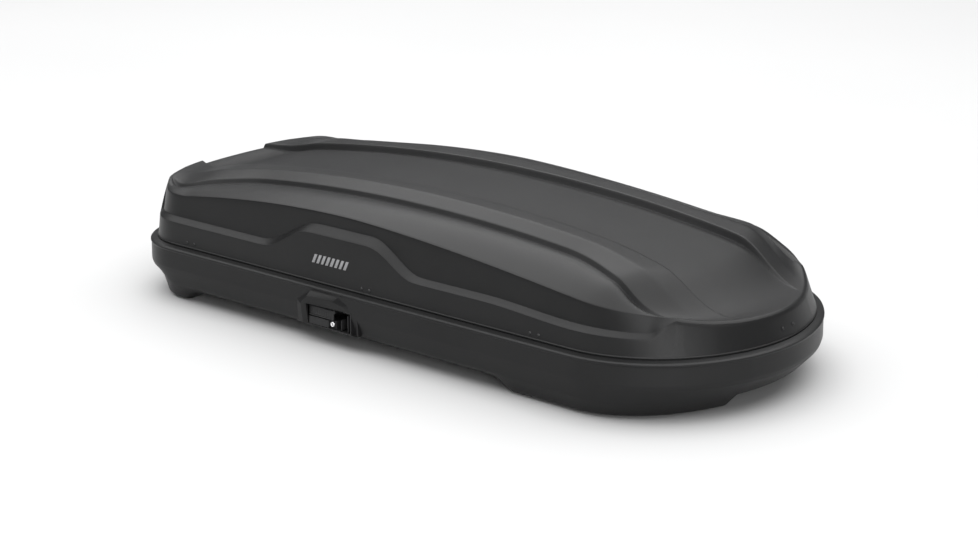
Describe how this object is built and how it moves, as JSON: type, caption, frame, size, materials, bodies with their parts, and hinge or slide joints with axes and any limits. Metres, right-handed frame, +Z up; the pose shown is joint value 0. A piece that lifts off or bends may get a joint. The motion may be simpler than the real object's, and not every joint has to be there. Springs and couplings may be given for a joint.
{
  "type": "roof cargo box",
  "caption": "Long hard-shell roof cargo box with a ridged lid that opens from either side, a deep tray, side pull handles with locks, and crossbar clamps.",
  "frame": {"origin": "centre of the box's footprint, at the height of the tray's lowest face", "axes": "+X forward to the nose, +Y to the object's left, +Z up"},
  "size_m": [2.062, 0.897, 0.4159],
  "materials": {
    "shell_plastic": "fine leather grain, thermoformed ABS",
    "matte_plastic": "moulded, fine texture",
    "badge_grey": "satin",
    "seal_rubber": "matte",
    "zinc_steel": "zinc plated",
    "lock_chrome": "polished"
  },
  "bodies": {
    "tray": {"base_tray": "shell_plastic", "rim_seal": "seal_rubber", "floor_rail_right": "zinc_steel", "handle_housing_right": "matte_plastic", "handle_pin_right": "zinc_steel", "latch_clip_rear_right": "matte_plastic", "latch_clip_middle_right": "matte_plastic", "latch_clip_front_right": "matte_plastic", "clamp_carriage_rear_right": "matte_plastic", "clamp_carriage_front_right": "matte_plastic", "floor_rail_left": "zinc_steel", "handle_housing_left": "matte_plastic", "handle_pin_left": "zinc_steel", "latch_clip_rear_left": "matte_plastic", "latch_clip_middle_left": "matte_plastic", "latch_clip_front_left": "matte_plastic", "clamp_carriage_rear_left": "matte_plastic", "clamp_carriage_front_left": "matte_plastic"},
    "rod_carrier": {"hinge_rod_left": "zinc_steel"},
    "lid": {"lid_shell": "shell_plastic", "hinge_rod_right": "zinc_steel", "nose_guide": "zinc_steel", "nose_rivets": "matte_plastic", "lid_stiffener_right": "zinc_steel", "badge_right": "badge_grey", "lid_bracket_rear_right": "zinc_steel", "lid_bracket_middle_right": "zinc_steel", "lid_bracket_front_right": "zinc_steel", "rivet_pair_rear_right": "matte_plastic", "rivet_pair_middle_right": "matte_plastic", "rivet_pair_front_right": "matte_plastic", "lid_stiffener_left": "zinc_steel", "badge_left": "badge_grey", "lid_bracket_rear_left": "zinc_steel", "lid_bracket_middle_left": "zinc_steel", "lid_bracket_front_left": "zinc_steel", "rivet_pair_rear_left": "matte_plastic", "rivet_pair_middle_left": "matte_plastic", "rivet_pair_front_left": "matte_plastic"},
    "handle_right": {"handle_right": "matte_plastic"},
    "latch_bar_right": {"latch_bar_right": "zinc_steel"},
    "lock_cylinder_right": {"lock_cylinder_right": "lock_chrome"},
    "clamp_lever_rear_right": {"clamp_lever_rear_right": "matte_plastic"},
    "clamp_claw_rear_right": {"clamp_claw_rear_right": "zinc_steel"},
    "clamp_lever_front_right": {"clamp_lever_front_right": "matte_plastic"},
    "clamp_claw_front_right": {"clamp_claw_front_right": "zinc_steel"},
    "handle_left": {"handle_left": "matte_plastic"},
    "latch_bar_left": {"latch_bar_left": "zinc_steel"},
    "lock_cylinder_left": {"lock_cylinder_left": "lock_chrome"},
    "clamp_lever_rear_left": {"clamp_lever_rear_left": "matte_plastic"},
    "clamp_claw_rear_left": {"clamp_claw_rear_left": "zinc_steel"},
    "clamp_lever_front_left": {"clamp_lever_front_left": "matte_plastic"},
    "clamp_claw_front_left": {"clamp_claw_front_left": "zinc_steel"}
  },
  "joints": [
    {"name": "open_from_left", "type": "hinge", "parent": "tray", "child": "rod_carrier", "pos_m": [0, -0.4128, 0.177], "axis": [-1, 0, 0], "range_deg": [-50, 0], "deforming": ["latch_clip_rear_left", "latch_clip_middle_left", "latch_clip_front_left"]},
    {"name": "open_from_right", "type": "hinge", "parent": "rod_carrier", "child": "lid", "pos_m": [0, 0.4128, 0.177], "axis": [-1, 0, 0], "range_deg": [0, 50], "deforming": ["latch_clip_rear_right", "latch_clip_middle_right", "latch_clip_front_right"]},
    {"name": "handle_right_pull", "type": "hinge", "parent": "tray", "child": "handle_right", "pos_m": [-0.19525, -0.442, 0.106], "axis": [-1, 0, 0], "range_deg": [0, 35]},
    {"name": "latch_bar_right_slide", "type": "slide", "parent": "tray", "child": "latch_bar_right", "axis": [1, 0, 0], "range_m": [0, 0.028]},
    {"name": "lock_cylinder_right_turn", "type": "hinge", "parent": "tray", "child": "lock_cylinder_right", "pos_m": [-0.157, -0.443, 0.0685], "axis": [0, -1, 0], "range_deg": [0, 90]},
    {"name": "clamp_lever_rear_right_lift", "type": "hinge", "parent": "tray", "child": "clamp_lever_rear_right", "pos_m": [-0.42, -0.27, 0.086], "axis": [0, -1, 0], "range_deg": [0, 100]},
    {"name": "clamp_claw_rear_right_drop", "type": "slide", "parent": "tray", "child": "clamp_claw_rear_right", "axis": [0, 0, -1], "range_m": [0, 0.02]},
    {"name": "clamp_lever_front_right_lift", "type": "hinge", "parent": "tray", "child": "clamp_lever_front_right", "pos_m": [0.25, -0.27, 0.086], "axis": [0, -1, 0], "range_deg": [0, 100]},
    {"name": "clamp_claw_front_right_drop", "type": "slide", "parent": "tray", "child": "clamp_claw_front_right", "axis": [0, 0, -1], "range_m": [0, 0.02]},
    {"name": "handle_left_pull", "type": "hinge", "parent": "tray", "child": "handle_left", "pos_m": [-0.19525, 0.442, 0.106], "axis": [1, 0, 0], "range_deg": [0, 35]},
    {"name": "latch_bar_left_slide", "type": "slide", "parent": "tray", "child": "latch_bar_left", "axis": [1, 0, 0], "range_m": [0, 0.028]},
    {"name": "lock_cylinder_left_turn", "type": "hinge", "parent": "tray", "child": "lock_cylinder_left", "pos_m": [-0.157, 0.443, 0.0685], "axis": [0, 1, 0], "range_deg": [0, 90]},
    {"name": "clamp_lever_rear_left_lift", "type": "hinge", "parent": "tray", "child": "clamp_lever_rear_left", "pos_m": [-0.42, 0.27, 0.086], "axis": [0, -1, 0], "range_deg": [0, 100]},
    {"name": "clamp_claw_rear_left_drop", "type": "slide", "parent": "tray", "child": "clamp_claw_rear_left", "axis": [0, 0, -1], "range_m": [0, 0.02]},
    {"name": "clamp_lever_front_left_lift", "type": "hinge", "parent": "tray", "child": "clamp_lever_front_left", "pos_m": [0.25, 0.27, 0.086], "axis": [0, -1, 0], "range_deg": [0, 100]},
    {"name": "clamp_claw_front_left_drop", "type": "slide", "parent": "tray", "child": "clamp_claw_front_left", "axis": [0, 0, -1], "range_m": [0, 0.02]}
  ],
  "couplings": [
    {"joint": "handle_right_pull", "follows": "latch_bar_right_slide", "rad_per_m": 21.817},
    {"joint": "clamp_lever_rear_right_lift", "follows": "clamp_claw_rear_right_drop", "rad_per_m": 87.266},
    {"joint": "clamp_lever_front_right_lift", "follows": "clamp_claw_front_right_drop", "rad_per_m": 87.266},
    {"joint": "handle_left_pull", "follows": "latch_bar_left_slide", "rad_per_m": 21.817},
    {"joint": "clamp_lever_rear_left_lift", "follows": "clamp_claw_rear_left_drop", "rad_per_m": 87.266},
    {"joint": "clamp_lever_front_left_lift", "follows": "clamp_claw_front_left_drop", "rad_per_m": 87.266}
  ]
}
